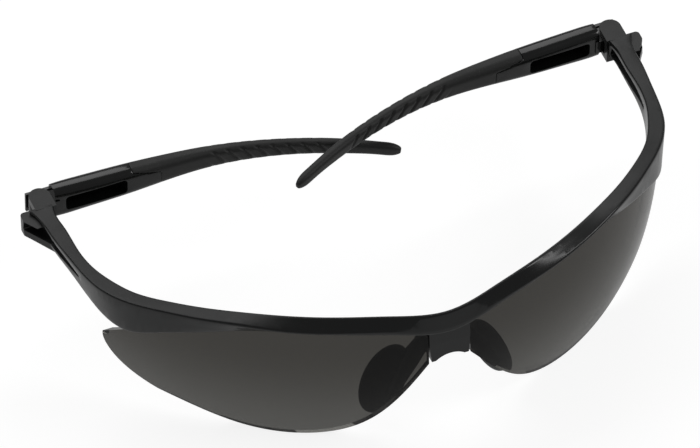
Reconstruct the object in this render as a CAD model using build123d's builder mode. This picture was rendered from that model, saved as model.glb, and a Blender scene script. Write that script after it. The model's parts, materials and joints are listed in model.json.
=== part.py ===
"""Safety glasses with a half frame, two wrapped lenses and folding rubber-tipped temples.

Millimetres. The origin is on the middle plane, at the front of the seam under the bridge.
+X is the wearer's left, +Y runs back towards the ears, +Z is up. The temples lie folded.
"""
from build123d import *
from math import cos, radians, sin, sqrt
import os

os.makedirs("parts", exist_ok=True)

# Lenses: two pieces of one ball, cut to a swept-back outline
lens_radius = 72.5
lens_thickness = 2.0
lens_gap = 0.05  # play between a lens and its groove
ball_y = lens_radius + 0.5  # the ball's middle, back from the bridge
ball_z = -4.0
nose_half_width = 4.8  # middle plane to the inner edge of a lens
lens_tip_x = lens_radius - 7.5  # middle plane to the swept-back tip of a lens
lens_drop = 26.6  # bridge seam to the lowest point of a lens

# Brow frame
brow_top = 10.0  # bridge seam to the flat top at the middle
arm_drop = 3.2  # seam level to the lowest underside of the brow, where it leaves the lens
arm_edge = 0.5  # rounding along the bar
arm_window_length = 20.0
arm_window_height = 2.6
arm_window_end = 5.2  # its rear end, in front of the ball's middle
arm_end_angle = 87.0  # how far round the ball the bar reaches

# Hinges: both lean the same way, so that one folded temple lies over the other
pivot_x = lens_radius - 5.7
pivot_y = ball_y
hinge_lean = 1.8
fold_left = 94.2
fold_right = 90.0
ear_radius = 2.4
ear_length = 4.0  # from the pivot forward into the bar
barrel_gap = 0.3
ear_top = 3.2
ear_bottom = -3.1
barrel_top = 1.5
barrel_bottom = -1.9
hinge_gap = 0.1
screw_radius = 0.8
screw_gap = 0.05
screw_head_radius = 1.6
screw_head_height = 0.7
screw_bite = 1.0  # how far the screw reaches into the top ear
lug_half_width = pivot_x + 5.6  # middle plane to the outside of a lug
lug_back = pivot_y - 2.5
lug_length = 2.6
lug_fairing = 10.0  # how far forward the lug tapers into the arm
lug_top = 2.2
lug_bottom = -2.1

# Temples, measured along u from the hinge
temple_length = 80.5
temple_start = ear_radius + 0.8
neck_inner = 1.6  # how far the neck behind the barrel stands inward of the pivot
heel_back = 2.2  # the heel's reach past the pivot
heel_inner = ear_radius + 0.4
heel_outer = heel_inner + 0.8
heel_length = 12.0
heel_top = 1.7
heel_bottom = -3.1
window_start = 5.6
window_length = 14.4
window_height = 3.7
window_round = 0.9
window_floor = 2.3  # outward of the pivot, with the outer wall beyond it
grip_start = 28.0
tongue_start = 21.4
tongue_depth = 1.5
tongue_floor = 1.1  # height of the tongue's underside where it leaves the grip
bend_start = 32.0
bend_in = 11.2  # how far the tip curves in from straight
bend_down = 3.0
core_height = 1.8
core_thickness = 1.0
core_end = temple_length - 10.5
temple_middle = 0.8  # middle of the arm, outward of the pivot
temple_offset = 0.8  # and how much more by the bend
temple_round = 0.42  # corner rounding as a share of the thickness

# Distance from the hinge, thickness, height
temple_stations = [
    (temple_start, 4.2, 7.8),
    (9, 4.8, 7.6),
    (15, 4.9, 7.2),
    (22, 4.7, 6.7),
    (grip_start, 4.3, 6.0),
    (grip_start + 12, 3.3, 4.8),
    (grip_start + 24, 2.7, 4.0),
    (temple_length - 18.5, 2.5, 3.6),
    (temple_length - 10.5, 2.4, 3.3),
    (temple_length - 4, 2.2, 3.0),
    (temple_length - 1.2, 1.8, 2.6),
    (temple_length, 0.9, 1.4),
]
core_distances = [grip_start - 4, bend_start, (bend_start + core_end) / 2, core_end]

# Nosepiece
nose_front = 0.3
nose_side_gap = 0.1
nose_drop = 5.0
nose_depth = 5.0
nose_arch = 1.2
nose_boss_depth = 4.4
nose_boss_height = brow_top - 6.0  # bridge seam to the boss's top, inside the bar
nose_tab_y = nose_front + nose_boss_depth / 2
nose_tab_width = 4.0
nose_tab_depth = 1.6
nose_tab_height = 2.4
nose_tab_gap = 0.05
stalk_radius = 0.8
wing_front = 4.7
wing_thickness = 1.2
wing_drop = 16.0  # bridge seam to the lowest point of a wing
pad_length = 18.5
pad_width = 9.5
pad_thickness = 2.4
pad_x = nose_half_width + 7.4  # middle of a pad
pad_y = 9.3
pad_z = -14.5
pad_spread = 0.55  # how far a pad leans outwards for each step down
pad_turn = 0.55  # how far a pad's face turns back towards the wearer

# The brow bar's sections: angle round the ball, then for each corner its radius beyond the lens ball
# and its height, in the order top back, top front, lower front, lower back
brow_stations = [
    (0, (-0.7, brow_top - 1.3), (0.6, brow_top - 5.8), (0.6, brow_top - 7.1), (-3.9, brow_top - 7.0)),
    (10, (-2.1, brow_top - 0.4), (0.1, brow_top - 3.8), (0.0, brow_top - 4.8), (-4.2, brow_top - 6.0)),
    (20, (-2.8, brow_top + 0.2), (0.3, brow_top - 2.4), (-0.1, brow_top - 3.0), (-4.3, brow_top - 5.0)),
    (29, (-2.8, brow_top + 0.3), (1.1, brow_top - 1.3), (-0.1, brow_top - 2.4), (-4.4, brow_top - 4.8)),
    (36, (-2.6, brow_top), (1.6, brow_top - 0.1), (0.1, brow_top - 3.2), (-4.5, brow_top - 5.8)),
    (43, (-2.1, brow_top - 0.6), (1.7, brow_top - 0.6), (0.8, brow_top - 5.6), (-4.4, brow_top - 8.2)),
    (50, (-1.6, brow_top - 1.6), (1.9, brow_top - 1.6), (1.5, brow_top - 8.7), (-4.2, brow_top - 10.8)),
    (57, (-1.4, brow_top - 3.0), (2.2, brow_top - 3.0), (1.7, 0.6 - arm_drop), (-3.2, -arm_drop)),
    (62, (-2.0, brow_top - 3.9), (1.8, brow_top - 3.9), (0.8, -arm_drop), (-2.7, -arm_drop)),
    (67, (-2.8, brow_top - 4.7), (0.5, brow_top - 4.7), (-0.5, 0.9 - arm_drop), (-3.1, 1.0 - arm_drop)),
    (73, (-4.4, brow_top - 5.5), (-1.2, brow_top - 5.4), (-2.1, 1.5 - arm_drop), (-4.5, 1.6 - arm_drop)),
    (80, (-6.3, brow_top - 6.2), (-2.4, brow_top - 6.2), (-3.0, 1.6 - arm_drop), (-6.3, 1.8 - arm_drop)),
    (arm_end_angle, (-7.6, ear_top), (-1.9, ear_top), (-2.3, 1.1 - arm_drop), (-7.6, 0.9 - arm_drop)),
]

ball_middle = Vector(0, ball_y, ball_z)
lean = Vector(sin(radians(hinge_lean)), 0, cos(radians(hinge_lean)))


def brow_section(angle, *corners):
    """A four-cornered section of the brow bar, on the upright plane through the ball's middle."""
    outward = Vector(sin(radians(angle)), -cos(radians(angle)), 0)
    plane = Plane(origin=(0, ball_y, 0), x_dir=outward, z_dir=outward.cross(Vector(0, 0, 1)))
    with BuildSketch(plane) as section:
        with BuildLine():
            Polyline(*[(lens_radius + beyond, height) for beyond, height in corners], close=True)
        make_face()
        fillet(section.vertices(), radius=arm_edge)
    return section.sketch


def lens_profile(gap):
    """A lens outline seen from the front, grown by gap along its top and its inner edge."""
    inner = nose_half_width - gap
    high = brow_top + gap
    wide = lens_tip_x
    with BuildSketch(Plane.XZ) as outline:
        with BuildLine():
            top = Spline((inner, high - 5.2), (0.20 * wide, high - 3.7), (0.37 * wide, high - 2.1),
                         (0.52 * wide, high - 1.4), (0.66 * wide, high - 2.1), (0.78 * wide, high - 4.0),
                         (0.88 * wide, high - 7.0), (0.95 * wide, high - 10.8), (wide + 3, high - 14.0))
            outer = Line(top @ 1, (wide + 3, 4.0 - lens_drop))
            bottom = Spline(outer @ 1, (0.86 * wide, 5.9 - lens_drop), (0.66 * wide, 1.5 - lens_drop),
                            (0.48 * wide, -lens_drop), (0.31 * wide, 3.0 - lens_drop),
                            (0.18 * wide, 11.4 - lens_drop), (inner, 21.0 - lens_drop))
            Line(bottom @ 1, top @ 0)
        make_face()
    return outline.sketch


def lens_side_profile(gap):
    """The lens outline seen from the side, which shapes the swept-back tip."""
    tip_y = ball_y - sqrt(lens_radius**2 - lens_tip_x**2)
    with BuildSketch(Plane.YZ) as outline:
        with BuildLine():
            rear = Spline((tip_y - 9.0 + gap, -2.0), (tip_y - 4.0 + gap, -5.9),
                          (tip_y + gap, -0.34 * lens_drop))
            tip = Spline(rear @ 1, (tip_y + 0.2, -0.41 * lens_drop), (tip_y - 1.6, -0.57 * lens_drop),
                         (tip_y - 7.4, -0.73 * lens_drop), (tip_y - 19.0, -0.91 * lens_drop))
            Polyline(tip @ 1, (tip_y - 19.0, -lens_drop - 9), (-9, -lens_drop - 9), (-9, 20),
                     (tip_y - 9.0 + gap, 20), rear @ 0)
        make_face()
    return outline.sketch


def lens_blank(gap):
    """A lens for the wearer's left, or with a gap the groove that it sits in."""
    with BuildPart() as blank:
        with Locations(ball_middle):
            Sphere(lens_radius + gap)
            Sphere(lens_radius - lens_thickness - gap, mode=Mode.SUBTRACT)
        extrude(lens_profile(gap), amount=-(ball_y - 10), mode=Mode.INTERSECT)
        extrude(lens_side_profile(gap), amount=2 * lens_radius, mode=Mode.INTERSECT)
    return blank.part


def hinge_plane(side, height=0.0):
    """The plane square to a leaning hinge, at a height up it: x runs back, as the open temple does."""
    pivot = Vector(side * pivot_x, pivot_y, 0)
    return Plane(origin=pivot + lean * height, x_dir=Vector(0, 1, 0), z_dir=lean)


def hinge_plan(side, points):
    """Points of (back, outward) from a pivot, on its hinge plane, where y runs to the wearer's right."""
    return [(back, -side * outward) for back, outward in points]


def folded(side, direction):
    """A direction of the open temple, turned in to where the folded temple lies."""
    turn = fold_left if side > 0 else -fold_right
    return Vector(*direction).rotate(Axis((0, 0, 0), lean), turn)


def temple_plane(side, height=0.0):
    """The folded temple's plan: x runs along it, z up, and outward is y to one side or the other."""
    along = folded(side, (0, 1, 0))
    up = folded(side, (0, 0, 1))
    return Plane(origin=Vector(side * pivot_x, pivot_y, 0) + up * height, x_dir=along, z_dir=up)


def temple_side_plane(side):
    """The folded temple seen from the side: x runs along it and y up."""
    along = folded(side, (0, 1, 0))
    up = folded(side, (0, 0, 1))
    return Plane(origin=(side * pivot_x, pivot_y, 0), x_dir=along, z_dir=along.cross(up))


def temple_section(side, distance, thickness, height):
    """A rounded section of the temple, square to its line, which curves in and down past the bend."""
    past = max(distance - bend_start, 0.0) / (temple_length - bend_start)
    slope = 2 * past / (temple_length - bend_start)
    outward = temple_offset * min(distance / bend_start, 1.0) - bend_in * past**2
    plane = temple_plane(side)
    middle = plane.from_local_coords((distance, -side * (temple_middle + outward), -bend_down * past**2))
    ahead = plane.from_local_coords((1, side * bend_in * slope, -bend_down * slope)) - plane.origin
    across = ahead.cross(plane.z_dir)
    with BuildSketch(Plane(origin=middle, x_dir=across, z_dir=ahead)) as section:
        RectangleRounded(thickness, height, radius=temple_round * min(thickness, height))
    return section.sketch


# Lenses
with BuildPart() as lens_left:
    add(lens_blank(0))
lens_left.part.label = "lens_left"
with BuildPart() as lens_right:
    add(mirror(lens_left.part, about=Plane.YZ, mode=Mode.PRIVATE))
lens_right.part.label = "lens_right"

# Brow frame: one moulding from hinge to hinge
with BuildPart() as brow_frame:
    left_half = [brow_section(*station) for station in brow_stations]
    right_half = [brow_section(-station[0], *station[1:]) for station in brow_stations[:0:-1]]
    loft(sections=right_half + left_half)
    groove = lens_blank(lens_gap)
    add(groove, mode=Mode.SUBTRACT)
    add(mirror(groove, about=Plane.YZ, mode=Mode.PRIVATE), mode=Mode.SUBTRACT)

    for side in (-1, 1):
        # The lug stands out in front of the hinge, stops the open temple's heel and tapers into the arm
        with BuildSketch(Plane.XY.offset(lug_bottom)) as lug:
            lug_front = lug_back - lug_length
            fairing_front = lug_back - lug_fairing
            with BuildLine():
                Polyline((side * pivot_x, lug_back), (side * pivot_x, fairing_front),
                         (side * (pivot_x + 1.2), fairing_front),
                         (side * (lug_half_width - 1.0), lug_front - 1.6),
                         (side * lug_half_width, lug_front), (side * lug_half_width, lug_back), close=True)
            make_face()
            fillet(lug.vertices().group_by(Axis.X)[0 if side < 0 else -1], radius=0.9)
        extrude(lug.sketch, amount=lug_top - lug_bottom)

        # Two ears hold the temple's barrel between them
        for low, high in ((ear_bottom, barrel_bottom - hinge_gap), (barrel_top + hinge_gap, ear_top)):
            with BuildSketch(hinge_plane(side, low)) as ear:
                Circle(ear_radius)
                with Locations((-ear_length / 2, 0)):
                    Rectangle(ear_length, 2 * ear_radius)
            extrude(ear.sketch, amount=high - low)
        clear = ear_radius + barrel_gap
        with BuildSketch(hinge_plane(side, ear_bottom)) as root:
            with Locations((-(ear_length + clear) / 2, 0)):
                Rectangle(ear_length - clear, 2 * ear_radius)
        extrude(root.sketch, amount=ear_top - ear_bottom)

        # The screw's hole, with a seat for its head under the bottom ear
        with BuildSketch(hinge_plane(side, ear_bottom - 1)) as screw_hole:
            Circle(screw_radius)
        extrude(screw_hole.sketch, amount=barrel_top + screw_bite + 1 - ear_bottom, mode=Mode.SUBTRACT)
        with BuildSketch(hinge_plane(side, ear_bottom - 1)) as head_seat:
            Circle(screw_head_radius + screw_gap)
        extrude(head_seat.sketch, amount=1 + screw_head_height, mode=Mode.SUBTRACT)

    # A long window through each side arm, tapering to a point towards the front
    rear = ball_y - arm_window_end
    middle = rear - 0.55 * arm_window_length
    front = rear - arm_window_length
    sill = 2.2 - arm_window_height
    with BuildSketch(Plane.YZ) as arm_window:
        with BuildLine():
            Polyline((rear, 2.0), (rear + 0.6, sill), (middle, sill + 0.2), (front, 1.6), (front, 2.4),
                     (middle, 2.7), close=True)
        make_face()
        fillet(arm_window.vertices(), radius=0.35)
    extrude(arm_window.sketch, amount=lug_half_width + 10, both=True, mode=Mode.SUBTRACT)

    # A boss fills the space between the lenses, and the nosepiece's tab pushes up into it
    with BuildSketch() as boss:
        with Locations((0, nose_front + nose_boss_depth / 2)):
            Rectangle(2 * (nose_half_width - nose_side_gap), nose_boss_depth)
    extrude(boss.sketch, amount=nose_boss_height)
    with BuildSketch(Plane.XY.offset(-1)) as tab_socket:
        with Locations((0, nose_tab_y)):
            Rectangle(nose_tab_width + 2 * nose_tab_gap, nose_tab_depth + 2 * nose_tab_gap)
    extrude(tab_socket.sketch, amount=1 + nose_tab_height + nose_tab_gap, mode=Mode.SUBTRACT)
brow_frame.part.label = "brow_frame"

# Nosepiece: a saddle under the bridge, with a stalk and a wing to each pad
with BuildPart() as nose_bridge:
    with BuildSketch(Plane.XZ.offset(-nose_front)) as saddle:
        with BuildLine():
            foot = nose_half_width - nose_side_gap
            left = Line((-foot, 0), (-foot + 0.4, -nose_drop))
            left_toe = Line(left @ 1, (-foot + 1.4, -nose_drop))
            arch = ThreePointArc(left_toe @ 1, (0, -nose_drop + nose_arch), (foot - 1.4, -nose_drop))
            right_toe = Line(arch @ 1, (foot - 0.4, -nose_drop))
            right = Line(right_toe @ 1, (foot, 0))
            Line(right @ 1, left @ 0)
        make_face()
    extrude(saddle.sketch, amount=-nose_depth)
    with BuildSketch(Plane.XY) as tab:
        with Locations((0, nose_tab_y)):
            Rectangle(nose_tab_width, nose_tab_depth)
    extrude(tab.sketch, amount=nose_tab_height)
    for side in (-1, 1):
        with BuildLine() as stalk_line:
            FilletPolyline((side * 3.0, nose_front + nose_depth - 1.6, -nose_drop / 2),
                           (side * 4.6, nose_front + nose_depth + 2.0, -nose_drop / 2 - 1.0),
                           (side * pad_x, pad_y, pad_z), radius=2.0)
        with BuildSketch(Plane(origin=stalk_line.line @ 0, z_dir=stalk_line.line % 0)) as stalk:
            Circle(stalk_radius)
        sweep(stalk.sketch, path=stalk_line.line)
        # A thin wing runs down behind the lens's inner edge, and carries the front of the pad
        with BuildSketch(Plane.XZ.offset(-wing_front)) as wing:
            with BuildLine():
                Polyline((side * (foot - 1), -0.4), (side * (foot - 1), -nose_drop + 0.6),
                         (side * (foot + 1.2), -0.5 * wing_drop), (side * (foot + 6.6), -wing_drop),
                         (side * (foot + 8.0), -wing_drop + 1.4), (side * (foot + 4.6), -0.45 * wing_drop),
                         (side * (foot + 1.0), -0.4), close=True)
            make_face()
        extrude(wing.sketch, amount=-wing_thickness)
nose_bridge.part.label = "nose_bridge"


def nose_pad(side):
    """A soft pad, long down the nose and dished to it, moulded over the end of its stalk."""
    down = Vector(side * pad_spread, 0.1, -1).normalized()
    to_nose = Vector(-side, pad_turn, -pad_spread)
    facing = (to_nose - down * to_nose.dot(down)).normalized()
    plane = Plane(origin=Vector(side * pad_x, pad_y, pad_z) - facing * pad_thickness / 2,
                  x_dir=down, z_dir=facing)
    with BuildPart() as pad:
        with BuildSketch(plane) as outline:
            Ellipse(pad_length / 2, pad_width / 2)
        extrude(outline.sketch, amount=pad_thickness)
        fillet(pad.edges(), radius=0.45 * pad_thickness)
        add(nose_bridge.part, mode=Mode.SUBTRACT)
    return pad.part


with BuildPart() as nose_pad_left:
    add(nose_pad(1))
nose_pad_left.part.label = "nose_pad_left"
with BuildPart() as nose_pad_right:
    add(nose_pad(-1))
nose_pad_right.part.label = "nose_pad_right"


def temple_whole(side):
    """The whole outside of a folded temple, arm and grip together, with no hinge end."""
    with BuildPart() as whole:
        loft(sections=[temple_section(side, *station) for station in temple_stations])
    return whole.part


def grip_region(side):
    """The stretch of a temple that the grip covers: all past the joint, with a tongue along the top."""
    with BuildPart() as region:
        with BuildSketch(temple_side_plane(side)) as stretch:
            with BuildLine():
                Polyline((grip_start, -10), (grip_start, tongue_floor),
                         (tongue_start, tongue_floor + tongue_depth),
                         (tongue_start, 10), (temple_length + 10, 10), (temple_length + 10, -20),
                         (grip_start, -20), close=True)
            make_face()
        extrude(stretch.sketch, amount=40, both=True)
    return region.part


def temple_core(side):
    """The thin core that runs on from the arm, down the middle of the grip."""
    stations = [(d, core_thickness, core_height) for d in core_distances]
    with BuildPart() as core:
        loft(sections=[temple_section(side, *station) for station in stations])
    return core.part


def temple_arm(side):
    """The hard arm: a barrel for the hinge, the body with its heel and hollowed inner face, and the core."""
    with BuildPart() as arm:
        add(temple_whole(side))
        add(grip_region(side), mode=Mode.SUBTRACT)
        add(temple_core(side))
        with BuildSketch(temple_plane(side, heel_bottom)) as heel:
            Polygon(*hinge_plan(side, [(-heel_back, heel_inner), (-heel_back, heel_outer - 0.2),
                                       (temple_start, heel_outer), (heel_length, heel_outer - 1),
                                       (heel_length, 1.0), (temple_start, 1.0),
                                       (temple_start, heel_inner)]), align=None)
            fillet(heel.vertices().group_by(Axis.Y)[-1], radius=0.3)
        extrude(heel.sketch, amount=heel_top - heel_bottom)
        with BuildSketch(temple_plane(side, barrel_bottom)) as barrel:
            Circle(ear_radius)
            neck_end = temple_start + 1
            Polygon(*hinge_plan(side, [(0, -neck_inner), (0, ear_radius), (neck_end, ear_radius),
                                       (neck_end, -neck_inner)]), align=None)
        extrude(barrel.sketch, amount=barrel_top - barrel_bottom)
        with BuildSketch(temple_plane(side, barrel_bottom - 1)) as bore:
            Circle(screw_radius + screw_gap)
        extrude(bore.sketch, amount=barrel_top - barrel_bottom + 2, mode=Mode.SUBTRACT)
        with BuildSketch(temple_side_plane(side).offset(side * window_floor)) as window:
            with Locations((window_start + window_length / 2, 0)):
                RectangleRounded(window_length, window_height, radius=window_round)
        extrude(window.sketch, amount=-side * 20, mode=Mode.SUBTRACT)
    return arm.part


def temple_grip(side):
    """The soft grip, moulded over the core."""
    with BuildPart() as grip:
        add(temple_whole(side))
        add(grip_region(side), mode=Mode.INTERSECT)
        add(temple_core(side), mode=Mode.SUBTRACT)
    return grip.part


def hinge_screw(side):
    """A countersunk-flush screw, put in from below, that the barrel turns on."""
    with BuildPart() as screw:
        with BuildSketch(hinge_plane(side, ear_bottom)) as head:
            Circle(screw_head_radius)
        extrude(head.sketch, amount=screw_head_height)
        with BuildSketch(hinge_plane(side, ear_bottom)) as shank:
            Circle(screw_radius)
        extrude(shank.sketch, amount=barrel_top + screw_bite - ear_bottom)
        with BuildSketch(hinge_plane(side, ear_bottom)) as drive:
            Rectangle(2 * screw_head_radius, 0.4)
        extrude(drive.sketch, amount=0.35, mode=Mode.SUBTRACT)
    return screw.part


with BuildPart() as temple_arm_left:
    add(temple_arm(1))
temple_arm_left.part.label = "temple_arm_left"
with BuildPart() as temple_arm_right:
    add(temple_arm(-1))
temple_arm_right.part.label = "temple_arm_right"
with BuildPart() as temple_grip_left:
    add(temple_grip(1))
temple_grip_left.part.label = "temple_grip_left"
with BuildPart() as temple_grip_right:
    add(temple_grip(-1))
temple_grip_right.part.label = "temple_grip_right"
with BuildPart() as hinge_screw_left:
    add(hinge_screw(1))
hinge_screw_left.part.label = "hinge_screw_left"
with BuildPart() as hinge_screw_right:
    add(hinge_screw(-1))
hinge_screw_right.part.label = "hinge_screw_right"

pieces = [
    brow_frame, lens_left, lens_right, nose_bridge, nose_pad_left, nose_pad_right,
    temple_arm_left, temple_arm_right, temple_grip_left, temple_grip_right,
    hinge_screw_left, hinge_screw_right,
]
for piece in pieces:
    export_step(piece.part, f"parts/{piece.part.label}.step")
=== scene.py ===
import json
import math

import bmesh
import bpy
from mathutils import Matrix, Vector


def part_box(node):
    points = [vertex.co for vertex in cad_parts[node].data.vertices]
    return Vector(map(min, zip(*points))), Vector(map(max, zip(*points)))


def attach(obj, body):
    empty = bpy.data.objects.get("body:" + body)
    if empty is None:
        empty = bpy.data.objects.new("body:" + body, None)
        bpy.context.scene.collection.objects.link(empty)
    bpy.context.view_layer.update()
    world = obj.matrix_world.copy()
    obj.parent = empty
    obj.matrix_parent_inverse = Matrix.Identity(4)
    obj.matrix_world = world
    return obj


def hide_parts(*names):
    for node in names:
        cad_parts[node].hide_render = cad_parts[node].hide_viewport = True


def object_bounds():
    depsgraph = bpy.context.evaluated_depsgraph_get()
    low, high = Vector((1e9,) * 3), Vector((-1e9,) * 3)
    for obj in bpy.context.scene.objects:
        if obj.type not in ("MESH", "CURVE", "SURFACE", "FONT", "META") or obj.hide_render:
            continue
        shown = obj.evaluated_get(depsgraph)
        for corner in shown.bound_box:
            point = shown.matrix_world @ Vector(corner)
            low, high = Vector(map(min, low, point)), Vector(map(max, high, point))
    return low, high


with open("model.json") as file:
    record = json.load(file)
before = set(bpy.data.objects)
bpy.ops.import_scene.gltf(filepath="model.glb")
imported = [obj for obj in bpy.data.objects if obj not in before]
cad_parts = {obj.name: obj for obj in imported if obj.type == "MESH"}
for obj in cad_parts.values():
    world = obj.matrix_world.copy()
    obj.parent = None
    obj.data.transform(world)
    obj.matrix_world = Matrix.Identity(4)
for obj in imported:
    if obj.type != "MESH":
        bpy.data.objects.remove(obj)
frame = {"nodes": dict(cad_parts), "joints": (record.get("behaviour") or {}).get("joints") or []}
cad_low, cad_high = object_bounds()


# Brow frame
# One black polycarbonate moulding from hinge to hinge. Its mould is blasted over the flat of the brow, which
# comes out satin, and polished on the sides, which come out glossy. The lenses snap up into a groove in it.
def float_group(name, inputs, outputs):
    """An empty shader group of float sockets, with its group input and group output nodes."""
    group = bpy.data.node_groups.new(name, "ShaderNodeTree")
    for label, value in inputs.items():
        socket = group.interface.new_socket(label, in_out="INPUT", socket_type="NodeSocketFloat")
        socket.default_value = value
    for label in outputs:
        group.interface.new_socket(label, in_out="OUTPUT", socket_type="NodeSocketFloat")
    return group, group.nodes.new("NodeGroupInput"), group.nodes.new("NodeGroupOutput")


def feed(tree, value, socket):
    """Links a socket or sets a number, whichever value is."""
    if isinstance(value, (int, float)):
        socket.default_value = value
    else:
        tree.links.new(value, socket)


def noise(tree, scale, detail, vector):
    """A noise texture's value, at a fixed scale or at one that comes from a socket."""
    texture = tree.nodes.new("ShaderNodeTexNoise")
    texture.inputs["Detail"].default_value = detail
    tree.links.new(vector, texture.inputs["Vector"])
    feed(tree, scale, texture.inputs["Scale"])
    return texture.outputs["Fac"]


def spread(tree, value, low, high, to_low=0.0, to_high=1.0, smooth=True):
    """value from low..high brought to to_low..to_high, and held at the ends."""
    node = tree.nodes.new("ShaderNodeMapRange")
    node.interpolation_type = "SMOOTHSTEP" if smooth else "LINEAR"
    for label, number in (("Value", value), ("From Min", low), ("From Max", high),
                          ("To Min", to_low), ("To Max", to_high)):
        feed(tree, number, node.inputs[label])
    return node.outputs["Result"]


def reckon(tree, operation, first, second=0.0):
    """A Math node's result."""
    node = tree.nodes.new("ShaderNodeMath")
    node.operation = operation
    feed(tree, first, node.inputs[0])
    feed(tree, second, node.inputs[1])
    return node.outputs[0]


def blend_colours(tree, factor, first, second):
    """A colour between two plain colours. A Mix node's colour sockets are inputs 6 and 7, and output 2."""
    node = tree.nodes.new("ShaderNodeMix")
    node.data_type = "RGBA"
    node.inputs["Factor"].default_value = 0.0
    tree.links.new(factor, node.inputs["Factor"])
    node.inputs[6].default_value = (*first, 1)
    node.inputs[7].default_value = (*second, 1)
    return node.outputs[2]


def object_place(tree):
    """The place on the object, in metres."""
    return tree.nodes.new("ShaderNodeTexCoord").outputs["Object"]


def upward(tree):
    """How far up the surface faces, from -1 to 1."""
    facing = tree.nodes.new("ShaderNodeNewGeometry").outputs["Normal"]
    split = tree.nodes.new("ShaderNodeSeparateXYZ")
    tree.links.new(facing, split.inputs[0])
    return split.outputs["Z"]


# The skin of a moulding: a fine grain, slow changes of gloss where the melt flowed, and rubbed streaks
moulded_skin, skin_in, skin_out = float_group(
    "moulded_skin", {"Grain Scale": 4000, "Polish": 0.2, "Flow": 0.04, "Rub": 0.05}, ("Height", "Roughness"))
skin_place = object_place(moulded_skin)
moulded_skin.links.new(noise(moulded_skin, skin_in.outputs["Grain Scale"], 2, skin_place),
                       skin_out.inputs["Height"])
flow = spread(moulded_skin, noise(moulded_skin, 70, 3, skin_place), 0.3, 0.7, -1, 1)
streak_place = moulded_skin.nodes.new("ShaderNodeMapping")
streak_place.inputs["Scale"].default_value = (60, 60, 2600)
moulded_skin.links.new(skin_place, streak_place.inputs["Vector"])
streak = spread(moulded_skin, noise(moulded_skin, 1, 3, streak_place.outputs[0]), 0.6, 0.75)
flow_share = reckon(moulded_skin, "MULTIPLY", flow, skin_in.outputs["Flow"])
rub_share = reckon(moulded_skin, "MULTIPLY", streak, skin_in.outputs["Rub"])
uneven = reckon(moulded_skin, "ADD", flow_share, rub_share)
moulded_skin.links.new(reckon(moulded_skin, "ADD", uneven, skin_in.outputs["Polish"]),
                       skin_out.inputs["Roughness"])

# Dust: specks that gather in patches, where the surface faces up
settled_dust, dust_in, dust_out = float_group("settled_dust", {"Amount": 0.1}, ("Mask",))
dust_place = object_place(settled_dust)
specks = spread(settled_dust, noise(settled_dust, 2600, 4, dust_place), 0.6, 0.72)
patches = spread(settled_dust, noise(settled_dust, 45, 3, dust_place), 0.35, 0.7)
dust = reckon(settled_dust, "MULTIPLY", specks, patches)
level = spread(settled_dust, upward(settled_dust), 0.1, 0.9, 0.1, 1.0)
settled = reckon(settled_dust, "MULTIPLY", dust, level)
settled_dust.links.new(reckon(settled_dust, "MULTIPLY", settled, dust_in.outputs["Amount"]),
                       dust_out.inputs["Mask"])


def moulded_material(name, colour, dusty_colour, skin, dust_amount, grain_depth, sockets, satin_top=0.0):
    """A moulded plastic or rubber: its skin and dust by the groups, and constants on the shader itself."""
    material = bpy.data.materials.new(name)
    material.use_nodes = True
    tree = material.node_tree
    shader = tree.nodes["Principled BSDF"]
    for label, value in sockets.items():
        shader.inputs[label].default_value = value
    surface = tree.nodes.new("ShaderNodeGroup")
    surface.node_tree = moulded_skin
    for label, value in skin.items():
        surface.inputs[label].default_value = value
    dusting = tree.nodes.new("ShaderNodeGroup")
    dusting.node_tree = settled_dust
    dusting.inputs["Amount"].default_value = dust_amount
    tree.links.new(blend_colours(tree, dusting.outputs["Mask"], colour, dusty_colour),
                   shader.inputs["Base Color"])
    rough = surface.outputs["Roughness"]
    if satin_top:
        rough = reckon(tree, "ADD", rough, spread(tree, upward(tree), 0.8, 0.97, 0.0, satin_top))
    tree.links.new(rough, shader.inputs["Roughness"])
    bump = tree.nodes.new("ShaderNodeBump")
    bump.inputs["Strength"].default_value = 0.3
    bump.inputs["Distance"].default_value = grain_depth
    tree.links.new(surface.outputs["Height"], bump.inputs["Height"])
    tree.links.new(bump.outputs["Normal"], shader.inputs["Normal"])
    return material


def dress(node_name, material, edge_radius=0.0):
    """Gives a CAD node its material, and rounds the sharp edges that a mould would leave rounded."""
    node = frame["nodes"][node_name]
    node.data.materials.clear()
    node.data.materials.append(material)
    if edge_radius:
        joined = node.modifiers.new("joined_faces", "WELD")
        joined.merge_threshold = 0.000002
        rounded = node.modifiers.new("rounded_edges", "BEVEL")
        rounded.width = edge_radius
        rounded.segments = 2
        rounded.limit_method = "ANGLE"
        rounded.angle_limit = math.radians(40)
        rounded.harden_normals = True


frame_plastic = moulded_material(
    "frame_plastic", (0.008, 0.0085, 0.0085), (0.09, 0.09, 0.085),
    {"Grain Scale": 5200, "Polish": 0.14, "Flow": 0.03, "Rub": 0.05}, 0.25, 0.00001,
    {"IOR": 1.45}, satin_top=0.3)
dress("brow_frame", frame_plastic, 0.00025)


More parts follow.
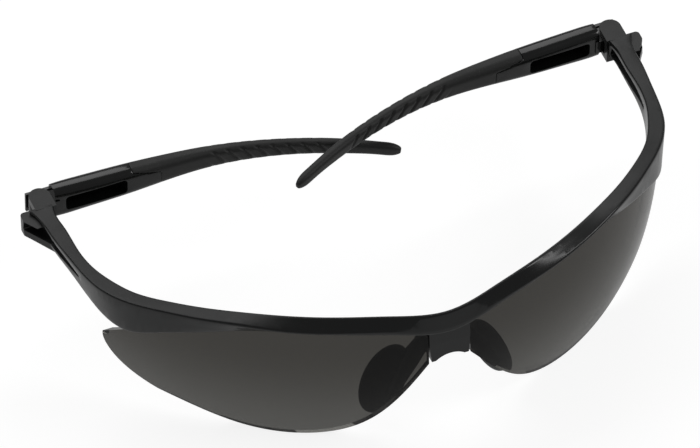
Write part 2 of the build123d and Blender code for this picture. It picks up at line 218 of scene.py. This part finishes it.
# Lenses
# Two smoke polycarbonate lenses, moulded as parts of one ball and dipped in a hard coat. Their colour runs a
# little lighter towards the lower edge, a painted reflection, and the polished coat picks up faint wiping
# marks.
def lens_material(name, crown_tint, foot_tint_with_painted_reflection, crown_height, foot_height):
    """Tinted clear plastic, its colour running from the crown tint to a lighter foot colour between two
    heights; the lightening is painted reflection.
    """
    material = bpy.data.materials.new(name)
    material.use_nodes = True
    tree = material.node_tree
    shader = tree.nodes["Principled BSDF"]
    shader.inputs["Transmission Weight"].default_value = 1.0
    shader.inputs["IOR"].default_value = 1.3
    place = tree.nodes.new("ShaderNodeSeparateXYZ")
    tree.links.new(object_place(tree), place.inputs[0])
    # Painted reflection: the colour grows lighter towards the lower edge of the lens.
    depth = spread(tree, place.outputs["Z"], crown_height, foot_height)
    tree.links.new(blend_colours(tree, depth, crown_tint, foot_tint_with_painted_reflection), shader.inputs["Base Color"])
    wiped = noise(tree, 90, 4, object_place(tree))
    tree.links.new(spread(tree, wiped, 0.4, 0.8, 0.0, 0.035), shader.inputs["Roughness"])
    return material


lens_low, lens_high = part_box("lens_left")
# The lighter lower colour is painted reflection on top of the smoke tint.
smoke_lens = lens_material("smoke_lens", (0.042, 0.040, 0.036), (0.075, 0.074, 0.069),
                           lens_high.z - 0.006, lens_low.z)
dress("lens_left", smoke_lens)
dress("lens_right", smoke_lens)


# Nosepiece
# A small glossy polycarbonate moulding that plugs up into the bridge. A thin stalk and a thin wing run out
# from it to each pad.
nosepiece_plastic = moulded_material(
    "nosepiece_plastic", (0.010, 0.0105, 0.0105), (0.09, 0.09, 0.085),
    {"Grain Scale": 6000, "Polish": 0.18, "Flow": 0.03, "Rub": 0.03}, 0.15, 0.00001, {"IOR": 1.45})
dress("nose_bridge", nosepiece_plastic, 0.0002)

# Nose pads
# Two soft thermoplastic pads, moulded over the ends of the stalks and dished to sit on the nose.
pad_faces = 0.0002  # face size of the even skin
pad_rounding = 6  # passes of smoothing over its edges
pad_dish = 0.0004  # how deep the dish is at its middle
pad_half_length = 0.010
pad_half_width = 0.00475
dish_reach = 0.8  # how far out the dish goes, as a share of the pad
pad_spread = 0.55  # how far a pad leans outwards for each step down
pad_turn = 0.55  # how far a pad's face turns back towards the wearer


def settle(piece):
    """Puts what the piece's modifiers make into its own mesh, and takes the modifiers off."""
    graph = bpy.context.evaluated_depsgraph_get()
    made = bpy.data.meshes.new_from_object(piece.evaluated_get(graph), depsgraph=graph)
    piece.modifiers.clear()
    piece.data = made
    made.name = piece.name
    made.polygons.foreach_set("use_smooth", [True] * len(made.polygons))


def soft_moulding(node_name, piece_name, face_size, rounding):
    """A soft piece in the space of a CAD node: one even skin, with its edges rounded over."""
    mesh = frame["nodes"][node_name].data.copy()
    skin = bmesh.new()
    skin.from_mesh(mesh)
    bmesh.ops.remove_doubles(skin, verts=skin.verts, dist=1e-6)
    skin.to_mesh(mesh)
    skin.free()
    mesh.materials.clear()
    piece = bpy.data.objects.new(piece_name, mesh)
    bpy.context.scene.collection.objects.link(piece)
    even = piece.modifiers.new("even_skin", "REMESH")
    even.mode = "VOXEL"
    even.voxel_size = face_size
    rounded = piece.modifiers.new("rounded_edges", "SMOOTH")
    rounded.factor = 0.5
    rounded.iterations = rounding
    settle(piece)
    return piece


rubber = {"Grain Scale": 3000, "Polish": 0.56, "Flow": 0.05, "Rub": 0.04}
soft_rubber = moulded_material("soft_rubber", (0.010, 0.0105, 0.010), (0.10, 0.10, 0.095), rubber, 0.35,
                               0.00003, {"IOR": 1.5, "Sheen Weight": 0.08, "Sheen Roughness": 0.5})

for side, name in ((1, "left"), (-1, "right")):
    pad = soft_moulding(f"nose_pad_{name}", f"pad_{name}", pad_faces, pad_rounding)
    low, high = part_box(f"nose_pad_{name}")
    middle = (low + high) / 2
    down = Vector((side * pad_spread, 0.1, -1)).normalized()
    to_nose = Vector((-side, pad_turn, -pad_spread))
    facing = (to_nose - down * to_nose.dot(down)).normalized()
    across = facing.cross(down)
    for vertex in pad.data.vertices:
        out = vertex.co - middle
        reach = math.hypot(out.dot(down) / pad_half_length, out.dot(across) / pad_half_width)
        if out.dot(facing) > 0 and reach < dish_reach:
            vertex.co -= facing * pad_dish * (1 - (reach / dish_reach) ** 2)
    pad.data.materials.append(soft_rubber)
    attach(pad, "front")
    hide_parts(f"nose_pad_{name}")

# Temple arms
# Hard polycarbonate side arms, polished all over, with a long blind pocket in the inner face behind the
# hinge. Their thin cores run on inside the grips.
arm_plastic = moulded_material(
    "arm_plastic", (0.0055, 0.006, 0.0058), (0.08, 0.08, 0.075),
    {"Grain Scale": 5200, "Polish": 0.17, "Flow": 0.04, "Rub": 0.05}, 0.2, 0.00001, {"IOR": 1.52})
dress("temple_arm_left", arm_plastic, 0.00025)
dress("temple_arm_right", arm_plastic, 0.00025)

# Temple grips
# Soft rubber moulded over the cores, from a tongue on top of each arm to the rounded tip. Slanting grooves
# pressed into both faces of the middle stretch leave ribs that hold in the hair.
grip_faces = 0.0002
grip_rounding = 5
rib_press_sizes = {
    "Pitch": 0.0031,
    "Groove": 0.0014,
    "Depth": 0.00034,
    "Slant": 0.75,
    "Start": 0.038,
    "End": 0.067,
    "Fade": 0.004,
}


def rib_press():
    """A tree that presses slanting grooves into the faces of a grip, between two distances along it."""
    tree = bpy.data.node_groups.new("rib_press", "GeometryNodeTree")
    tree.interface.new_socket("Geometry", in_out="INPUT", socket_type="NodeSocketGeometry")
    for label in rib_press_sizes:
        tree.interface.new_socket(label, in_out="INPUT", socket_type="NodeSocketFloat")
    tree.interface.new_socket("Across", in_out="INPUT", socket_type="NodeSocketVector")
    tree.interface.new_socket("Rubber", in_out="INPUT", socket_type="NodeSocketMaterial")
    tree.interface.new_socket("Geometry", in_out="OUTPUT", socket_type="NodeSocketGeometry")
    given = tree.nodes.new("NodeGroupInput").outputs

    def attribute(name):
        """A number kept on each point of the grip."""
        node = tree.nodes.new("GeometryNodeInputNamedAttribute")
        node.data_type = "FLOAT"
        node.inputs["Name"].default_value = name
        return node.outputs["Attribute"]

    along = attribute("along")
    slanted = reckon(tree, "ADD", along, reckon(tree, "MULTIPLY", attribute("height"), given["Slant"]))
    turn = reckon(tree, "FRACT", reckon(tree, "DIVIDE", slanted, given["Pitch"]))
    from_middle = reckon(tree, "ABSOLUTE", reckon(tree, "SUBTRACT", turn, 0.5))
    half_groove = reckon(tree, "DIVIDE", reckon(tree, "MULTIPLY", given["Groove"], 0.5), given["Pitch"])
    groove = spread(tree, from_middle, half_groove, 0.0)
    begun = spread(tree, along, given["Start"], reckon(tree, "ADD", given["Start"], given["Fade"]))
    ending = spread(tree, along, given["End"], reckon(tree, "SUBTRACT", given["End"], given["Fade"]))
    normal = tree.nodes.new("GeometryNodeInputNormal").outputs["Normal"]
    facing = tree.nodes.new("ShaderNodeVectorMath")
    facing.operation = "DOT_PRODUCT"
    tree.links.new(normal, facing.inputs[0])
    tree.links.new(given["Across"], facing.inputs[1])
    on_face = spread(tree, reckon(tree, "ABSOLUTE", facing.outputs["Value"]), 0.45, 0.8)
    pressed = reckon(tree, "MULTIPLY", reckon(tree, "MULTIPLY", groove, on_face),
                     reckon(tree, "MULTIPLY", begun, ending))
    depth = reckon(tree, "MULTIPLY", pressed, reckon(tree, "MULTIPLY", given["Depth"], -1.0))
    push = tree.nodes.new("ShaderNodeVectorMath")
    push.operation = "SCALE"
    tree.links.new(normal, push.inputs[0])
    tree.links.new(depth, push.inputs["Scale"])
    moved = tree.nodes.new("GeometryNodeSetPosition")
    tree.links.new(given["Geometry"], moved.inputs["Geometry"])
    tree.links.new(push.outputs["Vector"], moved.inputs["Offset"])
    real = tree.nodes.new("GeometryNodeRealizeInstances")
    tree.links.new(moved.outputs["Geometry"], real.inputs["Geometry"])
    painted = tree.nodes.new("GeometryNodeSetMaterial")
    tree.links.new(real.outputs["Geometry"], painted.inputs["Geometry"])
    tree.links.new(given["Rubber"], painted.inputs["Material"])
    end = tree.nodes.new("NodeGroupOutput")
    tree.links.new(painted.outputs["Geometry"], end.inputs["Geometry"])
    return tree


def press_ribs(grip, tree, sizes, across):
    """Runs the rib press on a grip with these sizes."""
    press = grip.modifiers.new("rib_press", "NODES")
    press.node_group = tree
    values = {**sizes, "Across": across, "Rubber": soft_rubber}
    for socket in tree.interface.items_tree:
        if socket.in_out == "INPUT" and socket.name in values:
            press[socket.identifier] = values[socket.name]
    settle(grip)


press_tree = rib_press()
for joint in frame["joints"]:
    body = joint["child"]
    side = body.removeprefix("temple_")
    pivot = Vector(joint["pos_m"])
    turned = Matrix.Rotation(math.radians(-sum(joint["range_deg"])), 3, Vector(joint["axis"]))
    lengthwise = turned @ Vector((0, 1, 0))
    upright = turned @ Vector((0, 0, 1))
    grip = soft_moulding(f"temple_grip_{side}", f"grip_{side}", grip_faces, grip_rounding)
    places = [vertex.co - pivot for vertex in grip.data.vertices]
    for label, direction in (("along", lengthwise), ("height", upright)):
        values = [place.dot(direction) for place in places]
        grip.data.attributes.new(label, "FLOAT", "POINT").data.foreach_set("value", values)
    press_ribs(grip, press_tree, rib_press_sizes, lengthwise.cross(upright))
    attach(grip, body)
    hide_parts(f"temple_grip_{side}")

# Hinge screws
# Small steel screws with slotted heads, turned from bar and put in from under the hinge.
screw_steel = moulded_material(
    "screw_steel", (0.52, 0.52, 0.51), (0.2, 0.19, 0.17),
    {"Grain Scale": 9000, "Polish": 0.3, "Flow": 0.05, "Rub": 0.15}, 0.3, 0.000008, {"Metallic": 1.0})
dress("hinge_screw_left", screw_steel)
dress("hinge_screw_right", screw_steel)

# Floor
# A pale sheet that glows a little of its own, so that shadows on it stay faint. Gloss sees it dimmer, so
# that black plastic stays black.
floor_half = 20.0
floor_glow = 0.85
mirrored_glow = 0.3  # as seen in the gloss of the plastic
floor_mesh = bpy.data.meshes.new("floor")
floor_corners = [(x, y, cad_low.z) for x, y in ((-floor_half, -floor_half), (floor_half, -floor_half),
                                                (floor_half, floor_half), (-floor_half, floor_half))]
floor_mesh.from_pydata(floor_corners, [], [(0, 1, 2, 3)])
floor = bpy.data.objects.new("floor", floor_mesh)
bpy.context.scene.collection.objects.link(floor)
floor_paint = bpy.data.materials.new("floor_paint")
floor_paint.use_nodes = True
floor_shader = floor_paint.node_tree.nodes["Principled BSDF"]
floor_shader.inputs["Base Color"].default_value = (0.3, 0.3, 0.3, 1)
floor_shader.inputs["Roughness"].default_value = 0.9
floor_shader.inputs["Specular IOR Level"].default_value = 0.0
floor_shader.inputs["Emission Color"].default_value = (1, 1, 1, 1)
floor_tree = floor_paint.node_tree
ray = floor_tree.nodes.new("ShaderNodeLightPath")
mirrored = reckon(floor_tree, "SUBTRACT", ray.outputs["Is Glossy Ray"], ray.outputs["Is Transmission Ray"])
glow = spread(floor_tree, mirrored, 0, 1, floor_glow, mirrored_glow)
floor_tree.links.new(glow, floor_shader.inputs["Emission Strength"])
floor_mesh.materials.append(floor_paint)

# Light
# A large softbox over and behind the glasses, a smaller one off to their left, and a dim even surround.
world = bpy.data.worlds.new("surround")
bpy.context.scene.world = world
world.use_nodes = True
world.node_tree.nodes["Background"].inputs["Color"].default_value = (1, 1, 1, 1)
world.node_tree.nodes["Background"].inputs["Strength"].default_value = 0.2


def softbox(name, place, aim, width, height, watts):
    """A rectangular area light at place, facing aim."""
    lamp = bpy.data.lights.new(name, "AREA")
    lamp.shape = "RECTANGLE"
    lamp.size = width
    lamp.size_y = height
    lamp.energy = watts
    box = bpy.data.objects.new(name, lamp)
    box.location = place
    box.rotation_euler = (Vector(aim) - Vector(place)).to_track_quat("-Z", "Y").to_euler()
    bpy.context.scene.collection.objects.link(box)


middle = (cad_low + cad_high) / 2
softbox("overhead_softbox", (-0.1, 0.8, 0.9), middle, 1.6, 0.7, 6.0)
softbox("side_softbox", (0.8, -0.3, 0.7), middle, 0.5, 0.35, 2.5)

# Camera
# A long lens, looking down on the glasses from in front and to their right.
camera_right = Vector((0.92991, -0.36682, -0.02665))
camera_up = Vector((0.27709, 0.65110, 0.70660))
camera_back = camera_right.cross(camera_up)
picture_width = 0.1515  # at the depth of the middle of the glasses
camera = bpy.data.objects.new("camera", bpy.data.cameras.new("camera"))
bpy.context.scene.collection.objects.link(camera)
camera.data.lens = 800
distance = picture_width * camera.data.lens / camera.data.sensor_width
aim = camera_right * -0.0216 + camera_up * 0.0252 + camera_back * -0.025
turn = Matrix((camera_right, camera_up, camera_back)).transposed()
camera.matrix_world = Matrix.Translation(aim + camera_back * distance) @ turn.to_4x4()
camera.data.clip_end = 20
bpy.context.scene.camera = camera
bpy.context.scene.view_settings.view_transform = "Standard"
